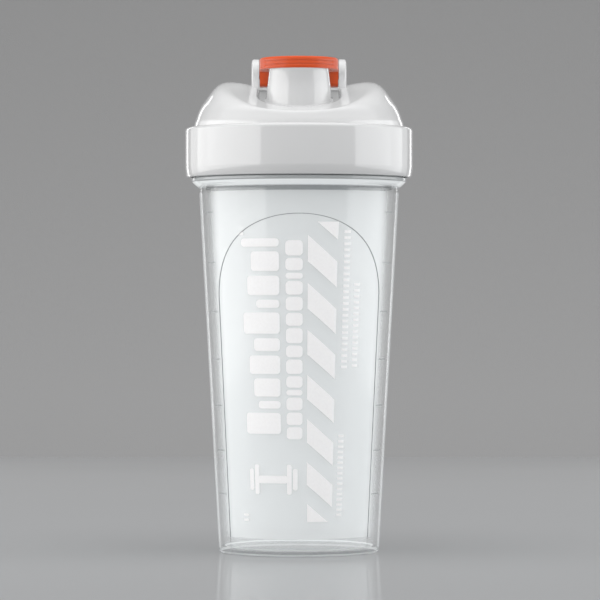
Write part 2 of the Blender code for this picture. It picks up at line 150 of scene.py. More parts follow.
class Finish:
    """A material with one Principled shader, and a method that adds any other node."""

    def __init__(self, name, **constants):
        self.material = bpy.data.materials.new(name)
        self.material.use_nodes = True
        self.tree = self.material.node_tree
        self.shader = self.tree.nodes["Principled BSDF"]
        for key, value in constants.items():
            plug(self.tree, self.shader.inputs[key.replace("_", " ")], value)
        self.place = self.node("ShaderNodeTexCoord", output="Object")

    def node(self, kind, settings=(), numbered=(), output=0, **named):
        """Any node. Its settings are set first, then its sockets, by number or by name."""
        made = self.tree.nodes.new(kind)
        for key, value in dict(settings).items():
            setattr(made, key, value)
        sockets = dict(numbered) | {key.replace("_", " "): value for key, value in named.items()}
        for key, value in sockets.items():
            plug(self.tree, made.inputs[key], value)
        return Signal(self.tree, made.outputs[output])

    def noise(self, scale, detail=3.0):
        return self.node("ShaderNodeTexNoise", Vector=self.place, Scale=scale, Detail=detail)

    def blend(self, factor, first, second):
        """A colour that goes from first to second as the factor goes from 0 to 1."""
        return self.node("ShaderNodeMix", {"data_type": "RGBA"}, {0: factor, 6: first, 7: second},
                         output=2)

    def step(self, value, low, high, start=0.0, end=1.0):
        """A smooth change from start to end as the value goes from low to high."""
        return self.node("ShaderNodeMapRange", {"interpolation_type": "SMOOTHSTEP"}, Value=value,
                         From_Min=low, From_Max=high, To_Min=start, To_Max=end)

    def between(self, value, low, high, soft):
        """One where the value lies between low and high, falling to zero over soft beyond them."""
        return self.step(value, low - soft, low) * self.step(value, high, high + soft, 1.0, 0.0)

    def along(self, axis):
        """The distance along the X, Y or Z axis."""
        return self.node("ShaderNodeSeparateXYZ", (), {0: self.place}, axis)

    def from_axis(self):
        """The distance from the bottle's own axis."""
        flat = self.node("ShaderNodeVectorMath", {"operation": "MULTIPLY"},
                         {0: self.place, 1: (1, 1, 0)})
        return self.node("ShaderNodeVectorMath", {"operation": "LENGTH"}, {0: flat}, "Value")

    def bump(self, height, distance, strength=1.0):
        made = self.node("ShaderNodeBump", Height=height, Distance=distance, Strength=strength)
        plug(self.tree, self.shader.inputs["Normal"], made)

    def vary(self, **values):
        for key, value in values.items():
            plug(self.tree, self.shader.inputs[key.replace("_", " ")], value)


def new_piece(name, mesh, finish, sharp=32):
    """An object at the origin, smooth shaded except where faces meet more sharply than sharp."""
    piece = bpy.data.objects.new(name, mesh)
    bpy.context.scene.collection.objects.link(piece)
    if mesh.materials:
        mesh.materials[0] = finish.material
    else:
        mesh.materials.append(finish.material)
    mesh.shade_smooth()
    mesh.set_sharp_from_angle(angle=radians(sharp))
    return piece


# Painted light: the table is painted lighter towards the back, and the paper darker towards its
# top.
TABLE_NEAR = (0.335, 0.341, 0.346)
TABLE_FAR = (0.405, 0.411, 0.415)
PAPER_FOOT = (0.385, 0.385, 0.385)
PAPER_HEAD = (0.335, 0.335, 0.335)
table_finish = Finish("grey_table", IOR=1.03)
table_finish.vary(
    Base_Color=table_finish.blend(table_finish.step(table_finish.along("Y"), 0.1, 0.8),
                                  TABLE_NEAR, TABLE_FAR),
    Roughness=table_finish.noise(3) * 0.05 + 0.06,
)
paper_finish = Finish("grey_paper", Roughness=0.9)
paper_finish.vary(Base_Color=paper_finish.blend(
    paper_finish.step(paper_finish.along("Z"), -0.1, 0.7), PAPER_FOOT, PAPER_HEAD))
paper_finish.bump(paper_finish.noise(900), 0.0002)

TABLE_REACH = 4
TABLE_END = 0.92
PAPER_PLACE = 2.4
PAPER_REACH = 9
PAPER_LOW = -1
table_corners = [(-TABLE_REACH, -TABLE_REACH, 0), (TABLE_REACH, -TABLE_REACH, 0),
                 (TABLE_REACH, TABLE_END, 0), (-TABLE_REACH, TABLE_END, 0)]
paper_corners = [(-PAPER_REACH, PAPER_PLACE, PAPER_LOW), (PAPER_REACH, PAPER_PLACE, PAPER_LOW),
                 (PAPER_REACH, PAPER_PLACE, PAPER_REACH), (-PAPER_REACH, PAPER_PLACE, PAPER_REACH)]
for name, corners, finish in (("table_top", table_corners, table_finish),
                              ("backdrop", paper_corners, paper_finish)):
    mesh = bpy.data.meshes.new(name)
    mesh.from_pydata(corners, [], [(0, 1, 2, 3)])
    new_piece(name, mesh, finish)

# ---------------------------------------------------------------------------
# The cup: clear copolyester, moulded in one with its flange, neck and thread. The tapered wall
# is 1.9 mm thick, and a shallow arched panel is sunk into its front for the print.

_, cup_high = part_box("cup")
BASE_RADIUS = 35.9 * MM
TOP_RADIUS = 45.0 * MM
BODY_TOP = 163.5 * MM
CONE = (TOP_RADIUS - BASE_RADIUS) / BODY_TOP
WALL = 1.9 * MM
FLOOR_TOP = 2.6 * MM
FLOOR_ROUND = 2.2 * MM
FOOT_ROUND = 2.0 * MM
FOOT_INNER = 31.0 * MM
RECESS = 0.8 * MM
FLARE_CURVE = [(46.9, 165.2), (45.7, 164.2), (45.15, 163.6)]  # in mm, from the flange down
FLANGE_RADIUS = 48.4 * MM
FLANGE_LOW = 166.5 * MM
FLANGE_TOP = 168.0 * MM
SMALL_ROUND = 0.3 * MM
NECK_RADIUS = 46.6 * MM
NECK_BORE = 44.8 * MM
RIM_ROUND = 0.9 * MM
THREAD_START = FLANGE_TOP + 4.6 * MM
THREAD_TURNS = 1.5
THREAD_HEIGHT = 1.7 * MM
THREAD_ROOT = 1.2 * MM
THREAD_CREST = 0.6 * MM
THREAD_SINK = 0.5 * MM
THREAD_BLUNT = 0.15
THREAD_LEAD = radians(25)
PITCH = 5.0 * MM
PANEL_HALF_ANGLE = radians(57)
PANEL_FOOT = 2.8 * MM
PANEL_SPRING = 113.3 * MM
PANEL_RISE = 37.8 * MM
PANEL_DEPTH = 0.40 * MM
PANEL_FLARE = 2.2 * MM


def cup_radius(level):
    return BASE_RADIUS + (TOP_RADIUS - BASE_RADIUS) * level / BODY_TOP


def arc(centre, radius, start, end, steps=6):
    """Points of an arc in the (radius, level) plane, in degrees from +radius."""
    turns = [radians(start + (end - start) * i / steps) for i in range(steps + 1)]
    return [(centre[0] + radius * cos(a), centre[1] + radius * sin(a)) for a in turns]


def supported(profile, reach=0.5 * MM):
    """The profile with a point added near both ends of each long run, for level shading."""
    points = []
    for (r0, z0), (r1, z1) in zip(profile, profile[1:]):
        length = hypot(r1 - r0, z1 - z0)
        points.append((r0, z0))
        if length > 3 * reach:
            share = reach / length
            points.append((r0 + (r1 - r0) * share, z0 + (z1 - z0) * share))
            points.append((r1 + (r0 - r1) * share, z1 + (z0 - z1) * share))
    return points + [profile[-1]]


def finished(name, bm):
    """The mesh of bm, with its faces turned outwards."""
    bmesh.ops.recalc_face_normals(bm, faces=bm.faces)
    mesh = bpy.data.meshes.new(name)
    bm.to_mesh(mesh)
    bm.free()
    return mesh


def ring_mesh(name, rings, closed_round=False):
    """A closed mesh through rings of points. A ring of one point is a pole."""
    bm = bmesh.new()
    made = [[bm.verts.new(tuple(p)) for p in ring] for ring in rings]
    pairs = list(zip(made, made[1:])) + ([(made[-1], made[0])] if closed_round else [])
    for one, two in pairs:
        count = max(len(one), len(two))
        for j in range(count):
            k = (j + 1) % count
            if len(one) == 1:
                bm.faces.new((one[0], two[j], two[k]))
            elif len(two) == 1:
                bm.faces.new((one[j], two[0], one[k]))
            else:
                bm.faces.new((one[j], two[j], two[k], one[k]))
    return finished(name, bm)


def lathe(name, profile, steps, centre=(0, 0)):
    """A mesh turned round an upright axis from points of (radius, level)."""
    turns = np.arange(steps) * tau / steps
    rings = []
    for r, z in profile:
        if r == 0:
            rings.append([(*centre, z)])
        else:
            rings.append(np.stack([centre[0] + r * np.sin(turns), centre[1] - r * np.cos(turns),
                                   np.full(steps, z)], axis=1))
    return ring_mesh(name, rings)


def scratch(mesh):
    """An object for a mesh that only takes part in a cut or a join."""
    tool = bpy.data.objects.new(mesh.name, mesh)
    bpy.context.scene.collection.objects.link(tool)
    return tool


def applied(body):
    """The plain mesh of an object that has modifiers. The object is removed."""
    graph = bpy.context.evaluated_depsgraph_get()
    result = bpy.data.meshes.new_from_object(body.evaluated_get(graph))
    bpy.data.objects.remove(body)
    return result


def shaped(mesh, *steps):
    """The mesh after a row of joins and cuts, each a Boolean operation and the mesh it uses."""
    body = scratch(mesh)
    tools = []
    for operation, other in steps:
        tools.append(scratch(other))
        cut = body.modifiers.new(operation, "BOOLEAN")
        cut.operation = operation
        cut.solver = "MANIFOLD"
        cut.object = tools[-1]
    result = applied(body)
    for tool in tools:
        bpy.data.objects.remove(tool)
    return result


def capped(name, rings):
    """A closed mesh through rings, with each end drawn to the middle of its ring."""
    ends = [[tuple(np.mean(ring, axis=0))] for ring in (rings[0], rings[-1])]
    return ring_mesh(name, [ends[0], *rings, ends[1]])


def thread_mesh(name, wall, outward, start, steps=96):
    """A trapezoid ridge on a helix, right-handed, fading in and out at its ends."""
    rings = []
    count = round(THREAD_TURNS * steps)
    end = THREAD_TURNS * tau
    for i in range(count + 1):
        angle = end * i / count
        nearest = min(angle, end - angle)
        grown = min(1, THREAD_BLUNT + nearest / THREAD_LEAD)
        level = start + PITCH * angle / tau
        crest = wall + outward * THREAD_HEIGHT * grown
        root = wall - outward * THREAD_SINK
        high, low = THREAD_ROOT * grown, THREAD_CREST * grown
        section = [(root, -high), (wall, -high), (crest, -low),
                   (crest, low), (wall, high), (root, high)]
        rings.append([(r * cos(angle), r * sin(angle), level + h) for r, h in section])
    return capped(name, rings)


inner_foot = cup_radius(FLOOR_TOP) - WALL
rim_top = cup_high[2]
cup_profile = supported([
    (0, FLOOR_TOP),
    *arc((inner_foot - FLOOR_ROUND, FLOOR_TOP + FLOOR_ROUND), FLOOR_ROUND, -90, 0),
    (TOP_RADIUS - WALL, 165.1 * MM),
    (NECK_BORE, 165.9 * MM),
    *arc((NECK_BORE + RIM_ROUND, rim_top - RIM_ROUND), RIM_ROUND, 180, 0),
    (NECK_RADIUS, FLANGE_TOP + SMALL_ROUND),
    (NECK_RADIUS + SMALL_ROUND, FLANGE_TOP),
    *arc((FLANGE_RADIUS - SMALL_ROUND, FLANGE_TOP - SMALL_ROUND), SMALL_ROUND, 90, 0, 4),
    *arc((FLANGE_RADIUS - SMALL_ROUND, FLANGE_LOW + SMALL_ROUND), SMALL_ROUND, 0, -60, 4),
    *((radius * MM, level * MM) for radius, level in FLARE_CURVE),
    (cup_radius(162.6 * MM), 162.6 * MM),
    *arc((BASE_RADIUS - 1.9 * MM, FOOT_ROUND), FOOT_ROUND, 0, -90),
    (FOOT_INNER, 0),
    (FOOT_INNER - RECESS, RECESS),
    (0, RECESS),
])


def panel_cutter(steps=121, out_to=2 * MM):
    """The space in front of the sunk panel: an arch with sloping sides, down to the cup's foot."""
    rings = []
    for turn in np.linspace(-pi / 2, pi / 2, steps):
        corners = []
        for out, spread in ((-PANEL_DEPTH, 0), (out_to, PANEL_FLARE)):
            angle = (PANEL_HALF_ANGLE + spread / TOP_RADIUS) * sin(turn)
            for level in (PANEL_FOOT - spread, PANEL_SPRING + (PANEL_RISE + spread) * cos(turn)):
                radius = cup_radius(level) + out
                corners.append((radius * sin(angle), -radius * cos(angle), level))
        inner_low, inner_high, outer_low, outer_high = corners
        rings.append([inner_low, inner_high, outer_high, outer_low])
    return capped("panel_cutter", rings)


cup_mesh = shaped(
    lathe("clear_cup", cup_profile, 288),
    ("DIFFERENCE", panel_cutter()),
    ("UNION", thread_mesh("cup_thread", NECK_RADIUS, 1, THREAD_START)),
)

BODY_HAZE = 0.67
EDGE_HAZE = 0.08
LEDGE_HAZE = 0.65
FLANGE_HAZE = 0.92
FOOT_HAZE = 0.22
RIM_HAZE = 0.46
CLEAR_TINT = (0.905, 0.930, 0.935)
# Painted shade: the next colour darkens bands of the clear wall, where shade and refraction fall.
PAINTED_SHADE_COLOUR = (0.18, 0.20, 0.205)
# Painted light: the next colour makes parts of the clear wall glow.
PAINTED_GLOW_COLOUR = (0.30, 0.31, 0.31)
BANDS = {
    # name: (from, to, softness) up the cup, in mm
    "painted_foot_line_highlight": (0.4, 1.0, 0.3),
    "painted_foot_band_shade": (1.5, 2.3, 0.3),
    "painted_foot_ring_highlight": (2.68, 3.1, 0.2),
    "panel": (4, 155, 1),
    "ledge": (161.7, 163.4, 0.4),
    "flare": (164.2, 166.0, 0.4),
    "collar": (166.4, 168.2, 0.2),
}
clear_finish = Finish("clear_cup_plastic", IOR=1.49, Specular_IOR_Level=0.75,
                      Emission_Strength=1.0)
level = clear_finish.along("Z")
facing = clear_finish.node("ShaderNodeLayerWeight", output="Facing", Blend=0.5)


def band(name):
    """One in a named band of the cup, and zero above and below it."""
    low, high, soft = (size * MM for size in BANDS[name])
    return clear_finish.between(level, low, high, soft)


# How far a point stands out from the wall's own cone tells the outer face from the inner one.
proud = clear_finish.from_axis() - level * CONE - BASE_RADIUS
outside = clear_finish.step(proud, -1.3 * MM, -0.8 * MM)
inside = 1 - outside
# Painted shade: the panel's sunk step is darkened into a thin line.
painted_panel_edge_shade = clear_finish.between(proud, -0.33 * MM, -0.08 * MM, 0.05 * MM) * band("panel")
ledge = band("ledge")
flange = clear_finish.step(level, 163.5 * MM, 164.1 * MM)
foot = clear_finish.step(level, 7.6 * MM, 8.4 * MM, 1.0, 0.0)
haze = clear_finish.noise(25) * 0.05 + (BODY_HAZE - 0.025)
for share, goal in ((ledge, LEDGE_HAZE), (flange, FLANGE_HAZE), (foot, FOOT_HAZE)):
    haze = haze + (goal - haze) * share
# Seen edge on, the wall is clear, with a bright line at its very rim.
edge = (clear_finish.step(facing, 0.40, 0.63)
        * clear_finish.step(level, 163.0 * MM, 165.5 * MM, 1.0, 0.25))
rim = clear_finish.step(facing, 0.72, 0.84, 0.0, RIM_HAZE) * outside
# Painted shade: the inner floor, a band at the foot, and the ledge and collar under the lid.
painted_floor_shade = clear_finish.step(level, 2.62 * MM, 2.7 * MM, 1.0, 0.0) * inside
# Painted highlights: a bright ring at the inner foot corner, a bright line round the outer foot.
painted_foot_ring_highlight = band("painted_foot_ring_highlight") * inside
painted_foot_line_highlight = band("painted_foot_line_highlight") * outside
painted_foot_band_shade = band("painted_foot_band_shade") * outside
painted_ledge_shade = (ledge + band("collar") * 0.6) * outside
# Painted light: the flare above the ledge glows.
painted_flare_glow = band("flare") * outside
painted_shade = painted_floor_shade * 0.8 + painted_panel_edge_shade + painted_foot_band_shade * 0.7 + painted_ledge_shade * 0.82
painted_glow = painted_flare_glow * 0.8 + painted_foot_ring_highlight * 0.6 + painted_foot_line_highlight * 0.3
milkiness = (haze * (1 - edge) + edge * EDGE_HAZE + rim
             + painted_foot_ring_highlight * 0.6 + painted_foot_line_highlight * 0.4 + painted_foot_band_shade * 0.25)
clear_finish.vary(
    Base_Color=clear_finish.blend(painted_shade.clamped(), CLEAR_TINT, PAINTED_SHADE_COLOUR),
    Roughness=clear_finish.noise(60) * 0.06 + 0.07,
    Alpha=milkiness.clamped(),
    Coat_Weight=ledge * outside,
    Emission_Color=clear_finish.blend(painted_glow.clamped(), (0, 0, 0), PAINTED_GLOW_COLOUR),
)
clear_finish.bump(clear_finish.noise(35), 0.0003, 0.35)
cup = new_piece("clear_cup", cup_mesh, clear_finish)
cup.visible_shadow = False  # a clear wall darkens nothing behind it
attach(cup, "cup")
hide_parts("cup")

# ---------------------------------------------------------------------------
# The strainer, the gasket and the spout's seal: a grey polypropylene basket, painted near black for
# the shade under the lid, that hangs from a ledge inside the neck, a soft silicone ring between the
# lid and the rim, and a silicone plug under the flip cap. All three are plain mouldings, shown as
# they were packed.

# Painted shade: the strainer is coloured near black for the shade it sits in. The noise is random
# tone.
STRAINER_DARK = (0.10, 0.11, 0.11)
STRAINER_LIGHT = (0.14, 0.15, 0.15)
SILICONE_DARK = (0.60, 0.61, 0.60)
SILICONE_LIGHT = (0.70, 0.71, 0.70)
strainer_finish = Finish("strainer_plastic", Roughness=0.38)
strainer_finish.vary(Base_Color=strainer_finish.blend(
    strainer_finish.noise(120), STRAINER_DARK, STRAINER_LIGHT))
strainer_finish.bump(strainer_finish.noise(700), 0.00003)
silicone_finish = Finish("silicone_rubber", IOR=1.41)
silicone_finish.vary(
    Base_Color=silicone_finish.blend(silicone_finish.noise(90), SILICONE_DARK, SILICONE_LIGHT),
    Roughness=silicone_finish.noise(300) * 0.15 + 0.48,
)
silicone_finish.bump(silicone_finish.noise(1200), 0.00002)
for node, finish in (("strainer", strainer_finish), ("lid_gasket", silicone_finish),
                     ("spout_seal", silicone_finish)):
    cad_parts[node].data.materials[0] = finish.material

# ---------------------------------------------------------------------------
# The lid: one injection moulding in glossy white polypropylene. A valley crosses its dome from
# front to back, with a shallow well in it for the spout; two ears beside the well hold the cap.

SKIRT_RADIUS = 51.3 * MM
SKIRT_BORE = 48.9 * MM
SKIRT_LOW = FLANGE_TOP + 0.3 * MM
CEILING = 188.4 * MM
CEILING_INNER = 45.1 * MM
SHOULDER = 190.6 * MM
SHOULDER_ROUND = 1.5 * MM
DOME_CURVE = [  # (radius, level) in mm, from the shoulder to the crown
    (47.3, 190.8), (47.15, 192.0), (46.35, 194.7), (45.4, 197.4), (44.1, 200.1), (42.4, 202.6),
    (40.7, 205.0), (38.7, 207.6), (36.1, 210.3), (33.1, 212.6), (29.4, 214.2), (24.0, 215.4),
    (16.0, 216.2), (8.0, 216.5), (0.0, 216.5),
]
DOME_FOOT = 47.3
DOME_FOOT_BORE = 45.0
DOME_WALL = 1.6 * MM
CROWN = 31.0 * MM
SADDLE = 209.6 * MM
VALLEY_WALL = 2.3 * MM
VALLEY_SLOPE = 0.31
VALLEY_FRONT = 1.5 * MM
VALLEY_BACK = 11 * MM
VALLEY_ROUND = 3 * MM
VALLEY_RISE = 2.1 * MM
VALLEY_MIDDLE_RISE = 0.7 * MM
VALLEY_MIDDLE = 12 * MM
HUMP_ROUND = 1.6 * MM
HUMP_ROUND_GAIN = 4.2 * MM
HUMP_SIDES = (14 * MM, 34 * MM)
INNER_ROUND = 1.3 * MM
WELL_HALF = 18.1 * MM
WELL_BACK = 8.0 * MM
WELL_DEPTH = 1.5 * MM
WELL_EDGE = 0.6 * MM
SPOUT_Y = -20.0 * MM
SPOUT_RIM = 217.0 * MM
SPOUT_RIM_RADIUS = 12.95 * MM
SPOUT_DRAFT = 0.122
SPOUT_WALL = 1.8 * MM
SPOUT_ROOT = 206 * MM
SPOUT_FILLET = 1.3 * MM
SPOUT_LIP = 0.6 * MM
BORE_LEVELS = (194 * MM, 212 * MM)


def valley(x, y):
    """The level of the floor between the dome's two humps, and its rise towards them."""
    fall = 0
    for past in (-y - VALLEY_FRONT, y - VALLEY_BACK):
        fall = fall + (past + np.sqrt(past**2 + VALLEY_ROUND**2)) / 2
    rise = VALLEY_RISE + VALLEY_MIDDLE_RISE * np.exp(-((y / VALLEY_MIDDLE) ** 2))
    return SADDLE - VALLEY_SLOPE * fall, rise * np.abs(x / CROWN) ** 3


def smooth_step(low, high, value):
    share = np.clip((value - low) / (high - low), 0, 1)
    return share * share * (3 - 2 * share)


def soft_min(one, two, reach):
    """The lower of two levels, with their crossing rounded over about reach."""
    mix = np.clip(0.5 + (two - one) / (2 * reach), 0, 1)
    return two * (1 - mix) + one * mix - reach * mix * (1 - mix)


def spout_radius(level):
    return SPOUT_RIM_RADIUS + SPOUT_DRAFT * (SPOUT_RIM - level)


def lid_floor(x, y, drop=0.0):
    """The valley with its well, lowered by drop."""
    level, rise = valley(x, y)
    aside = np.where(y > SPOUT_Y, np.abs(x), np.hypot(x, y - SPOUT_Y)) - WELL_HALF
    aside = np.maximum(aside, y - WELL_BACK)
    in_well = 1 - smooth_step(-WELL_EDGE, WELL_EDGE, aside)
    return level + rise * (1 - in_well) - WELL_DEPTH * in_well - drop


def curve_points(points, count):
    """Evenly spaced points on a smooth curve through (radius, level) points in millimetres."""
    given = np.array(points) * MM
    run = np.concatenate([[0], np.cumsum(np.hypot(*np.diff(given, axis=0).T))])
    slopes = np.gradient(given, run, axis=0)
    fine = np.linspace(0, run[-1], count)
    i = np.clip(np.searchsorted(run, fine, side="right") - 1, 0, len(run) - 2)
    width = (run[i + 1] - run[i])[:, None]
    t = ((fine - run[i]) / (run[i + 1] - run[i]))[:, None]
    return ((2 * t**3 - 3 * t**2 + 1) * given[i] + (t**3 - 2 * t**2 + t) * width * slopes[i]
            + (-2 * t**3 + 3 * t**2) * given[i + 1] + (t**3 - t**2) * width * slopes[i + 1])


def compass(steps):
    """The directions of evenly spaced points round an upright axis, from the front."""
    turns = np.arange(steps) * tau / steps
    return np.sin(turns), -np.cos(turns)


def lid_shell(steps=360, rings=150):
    """The lid's skirt, shoulder, dome and valley, inside and out, as one closed shell."""
    out_x, out_y = compass(steps)
    dome = curve_points(DOME_CURVE, rings)[::-1]
    outer, inner = [], []
    for r, z in dome[1:]:
        x, y = r * out_x, r * out_y
        roll = HUMP_ROUND + HUMP_ROUND_GAIN * smooth_step(*HUMP_SIDES, np.abs(x))
        top = soft_min(np.full(steps, z), lid_floor(x, y), roll)
        outer.append(np.stack([x, y, top], axis=1))
    for r, z in dome[1::3]:
        r = r * DOME_FOOT_BORE / DOME_FOOT
        x, y = r * out_x, r * out_y
        under = soft_min(np.full(steps, z - DOME_WALL), lid_floor(x, y, VALLEY_WALL), INNER_ROUND)
        inner.append(np.stack([x, y, under], axis=1))
    skirt = [
        (47.55 * MM, SHOULDER + 0.04 * MM),
        (47.9 * MM, SHOULDER),
        (49.4 * MM, SHOULDER),
        *arc((SKIRT_RADIUS - SHOULDER_ROUND, SHOULDER - SHOULDER_ROUND), SHOULDER_ROUND, 90, 0, 8),
        (SKIRT_RADIUS, SHOULDER - 2.1 * MM),
        (SKIRT_RADIUS, SKIRT_LOW + 4.6 * MM),
        (SKIRT_RADIUS - 0.04 * MM, SKIRT_LOW + 4.0 * MM),
        (SKIRT_RADIUS - 0.5 * MM, SKIRT_LOW + 0.7 * MM),
        (SKIRT_RADIUS - 0.75 * MM, SKIRT_LOW + 0.15 * MM),
        (SKIRT_RADIUS - 1.1 * MM, SKIRT_LOW),
        (SKIRT_BORE + 0.3 * MM, SKIRT_LOW),
        (SKIRT_BORE, SKIRT_LOW + 0.3 * MM),
        (SKIRT_BORE, CEILING - 0.6 * MM),
        (SKIRT_BORE - 0.6 * MM, CEILING),
        (CEILING_INNER, CEILING),
    ]
    turned = [np.stack([r * out_x, r * out_y, np.full(steps, z)], axis=1) for r, z in skirt]
    middle = np.zeros(1)
    top_pole = [(0, 0, float(lid_floor(middle, middle)[0]))]
    under_pole = [(0, 0, float(lid_floor(middle, middle, VALLEY_WALL)[0]))]
    return ring_mesh("lid", [top_pole, *outer, *turned, *inner[::-1], under_pole])


def spout_tube(steps=160):
    """The drinking spout: a tapered tube whose foot follows the valley, buried in its wall."""
    out_x, out_y = compass(steps)
    root = spout_radius(SPOUT_ROOT)
    foot = lid_floor(root * out_x, SPOUT_Y + root * out_y, 1.1 * MM)

    def fillet_ring(turn):
        """The radius and the levels of the fillet round the foot, at a turn in degrees."""
        radius = root + SPOUT_FILLET * (1 - sin(radians(turn)))
        floor = lid_floor(radius * out_x, SPOUT_Y + radius * out_y)
        return radius, floor + SPOUT_FILLET * (1 - cos(radians(turn)))

    fillet = [fillet_ring(turn) for turn in range(0, 91, 10)]
    rings = [(fillet[0][0], fillet[0][1] - 0.6 * MM), *fillet]
    for share in (0.3, 0.9, 1):
        level = foot + (SPOUT_RIM - 0.7 * MM - foot) * share
        rings.append((spout_radius(level), level))
    lip = arc((SPOUT_RIM_RADIUS - SPOUT_LIP, SPOUT_RIM - SPOUT_LIP), SPOUT_LIP, 0, 180, 10)
    rings += [(r + 0.02 * MM, np.full(steps, z)) for r, z in lip]
    for share in (1, 0.9, 0.3, 0):
        level = foot + (SPOUT_RIM - 0.9 * MM - foot) * share
        rings.append((spout_radius(level) - SPOUT_WALL, level))
    placed = [np.stack([r * out_x, SPOUT_Y + r * out_y, z], axis=1) for r, z in rings]
    return ring_mesh("spout", placed, closed_round=True)


HINGE = (1.0 * MM, 215.1 * MM)
EAR = (17.85 * MM, 21.25 * MM)
EAR_RADIUS = 6.6 * MM
EAR_ROUND = 1.0 * MM
EAR_SHRINK_OVER = 7 * MM
EAR_MIDDLE = 212.5 * MM
EAR_FOOT = [(7.2, 210.5), (8.6, 208.6), (9.0, 206.9)]  # (from the hinge, level) in mm
SOCKET_RADIUS = 2.85 * MM
SOCKET_REACH = 23 * MM
THREAD_SETTLE = 1.988 * MM  # how far the lid's thread starts below the cup's


def hinge_rod(name, radius, low, high, steps=64):
    """A round bar on the hinge's axis between two values of x."""
    turns = np.arange(steps) * tau / steps
    ring = [(HINGE[0] + radius * cos(a), HINGE[1] + radius * sin(a)) for a in turns]
    return ring_mesh(name, [[(low, *HINGE)], [(low, *p) for p in ring],
                            [(high, *p) for p in ring], [(high, *HINGE)]])


def ear_mesh(side):
    """One hinge ear: a round head on a wider foot, with softened edges."""
    head = [(HINGE[0] + a, HINGE[1] + b) for a, b in arc((0, 0), EAR_RADIUS, -8, 188, 40)]
    back = [(HINGE[0] - out * MM, level * MM) for out, level in EAR_FOOT]
    front = [(HINGE[0] + out * MM, level * MM) for out, level in reversed(EAR_FOOT)]
    outline = np.array(head + back + front)
    middle = np.array([HINGE[0], EAR_MIDDLE])
    inner, outer = EAR
    steps = [(inner, 0.25), (inner + 0.25 * MM, 0)]
    for turn in range(0, 91, 15):
        steps.append((outer - EAR_ROUND * (1 - sin(radians(turn))), 1 - cos(radians(turn))))
    rings = [[(side * inner, *middle)]]
    for x, inset in steps:
        shrink = 1 - inset * MM / EAR_SHRINK_OVER
        rings.append([(side * x, *(middle + (p - middle) * shrink)) for p in outline])
    rings.append([(side * outer, *middle)])
    return ring_mesh("ear", rings)


bore_profile = [(spout_radius(level) - SPOUT_WALL, level) for level in BORE_LEVELS]
bore_profile = [(0, BORE_LEVELS[0]), *bore_profile, (0, BORE_LEVELS[1])]
bore = lathe("bore", bore_profile, 160, (0, SPOUT_Y))
lid_mesh = shaped(
    lid_shell(),
    ("DIFFERENCE", bore),
    ("UNION", spout_tube()),
    ("UNION", ear_mesh(-1)),
    ("UNION", ear_mesh(1)),
    ("DIFFERENCE", hinge_rod("sockets", SOCKET_RADIUS, -SOCKET_REACH, SOCKET_REACH)),
    ("UNION", thread_mesh("lid_thread", SKIRT_BORE, -1, THREAD_START - THREAD_SETTLE)),
)
LID_DARK = (0.645, 0.648, 0.650)
LID_LIGHT = (0.675, 0.676, 0.676)
lid_finish = Finish("white_lid_plastic", IOR=1.5, Coat_Weight=1.0, Coat_Roughness=0.04)
lid_finish.vary(
    Base_Color=lid_finish.blend(lid_finish.noise(18, 4), LID_DARK, LID_LIGHT),
    Roughness=lid_finish.noise(240) * 0.10 + 0.13,
)
lid_finish.bump(lid_finish.noise(30) * 0.8 + lid_finish.noise(900) * 0.03, 0.0002, 0.25)
lid = new_piece("screw_lid", lid_mesh, lid_finish, 40)
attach(lid, "lid")
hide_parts("lid")

# ---------------------------------------------------------------------------
# The flip cap: one orange moulding. A shallow lip with grip lines hangs round its front, two
# arms run back to the hinge, and a pin on each arm snaps into an ear.

CAP_TOP = 220.6 * MM
CAP_HALF = 17.5 * MM
CAP_LIP_LOW = CAP_TOP - 5.1 * MM
CAP_START = 206 * MM
CAP_PLATE = 2.0 * MM
CAP_LIP_WALL = 2.5 * MM
CAP_ROUND = 1.1 * MM
CAP_EDGE = 0.3 * MM
GRIP_GROOVES = (217.0 * MM, 218.55 * MM)
GROOVE_SHAPE = ((-0.42, 0), (-0.18, 0.3), (0.18, 0.3), (0.42, 0))  # (up, deep) in mm
BARREL_RADIUS = 6.2 * MM
BARREL_BORE = 3.5 * MM
ARM_REACH = 8.5 * MM
ARM_ROUND = 1.6 * MM
ARM_FILLET = 1.2 * MM
ARM_INNER = 13.5 * MM
PIN_RADIUS = 2.5 * MM
PIN_ENDS = (15.5 * MM, 20.95 * MM)


def cap_outline(inset, back, half):
    """The cap from above, shrunk by inset: a round front, and sides that run back at x = half."""
    radius = CAP_HALF - inset
    half = min(half, radius)
    start = np.arccos(half / radius)
    turns = np.linspace(start, -pi - start, 97)
    front = [(radius * cos(a), SPOUT_Y + radius * sin(a)) for a in turns]
    return np.array([(half, back), *front, (-half, back)])


def cap_body():
    """The cap's outside from above: straight walls, two grip grooves in front, a rounded top."""
    back = HINGE[0] + BARREL_RADIUS + 4 * MM
    rings = [(CAP_START, 0, 0)]
    for groove in GRIP_GROOVES:
        rings += [(groove + up * MM, 0, deep * MM) for up, deep in GROOVE_SHAPE]
    for turn in range(0, 91, 15):
        a = radians(turn)
        rings.append((CAP_TOP - CAP_ROUND * (1 - sin(a)), CAP_ROUND * (1 - cos(a)), 0))
    placed = []
    for level, inset, groove in rings:
        outline = cap_outline(inset, back, CAP_HALF)
        front = 1 - smooth_step(SPOUT_Y - 10 * MM, SPOUT_Y - 7.5 * MM, outline[:, 1])
        from_middle = outline - (0, SPOUT_Y)
        outline = outline - from_middle * (front * groove / CAP_HALF)[:, None]
        placed.append([(x, y, level) for x, y in outline])
    return ring_mesh("flip_cap", [[(0, SPOUT_Y, CAP_START)], *placed, [(0, SPOUT_Y, CAP_TOP)]])


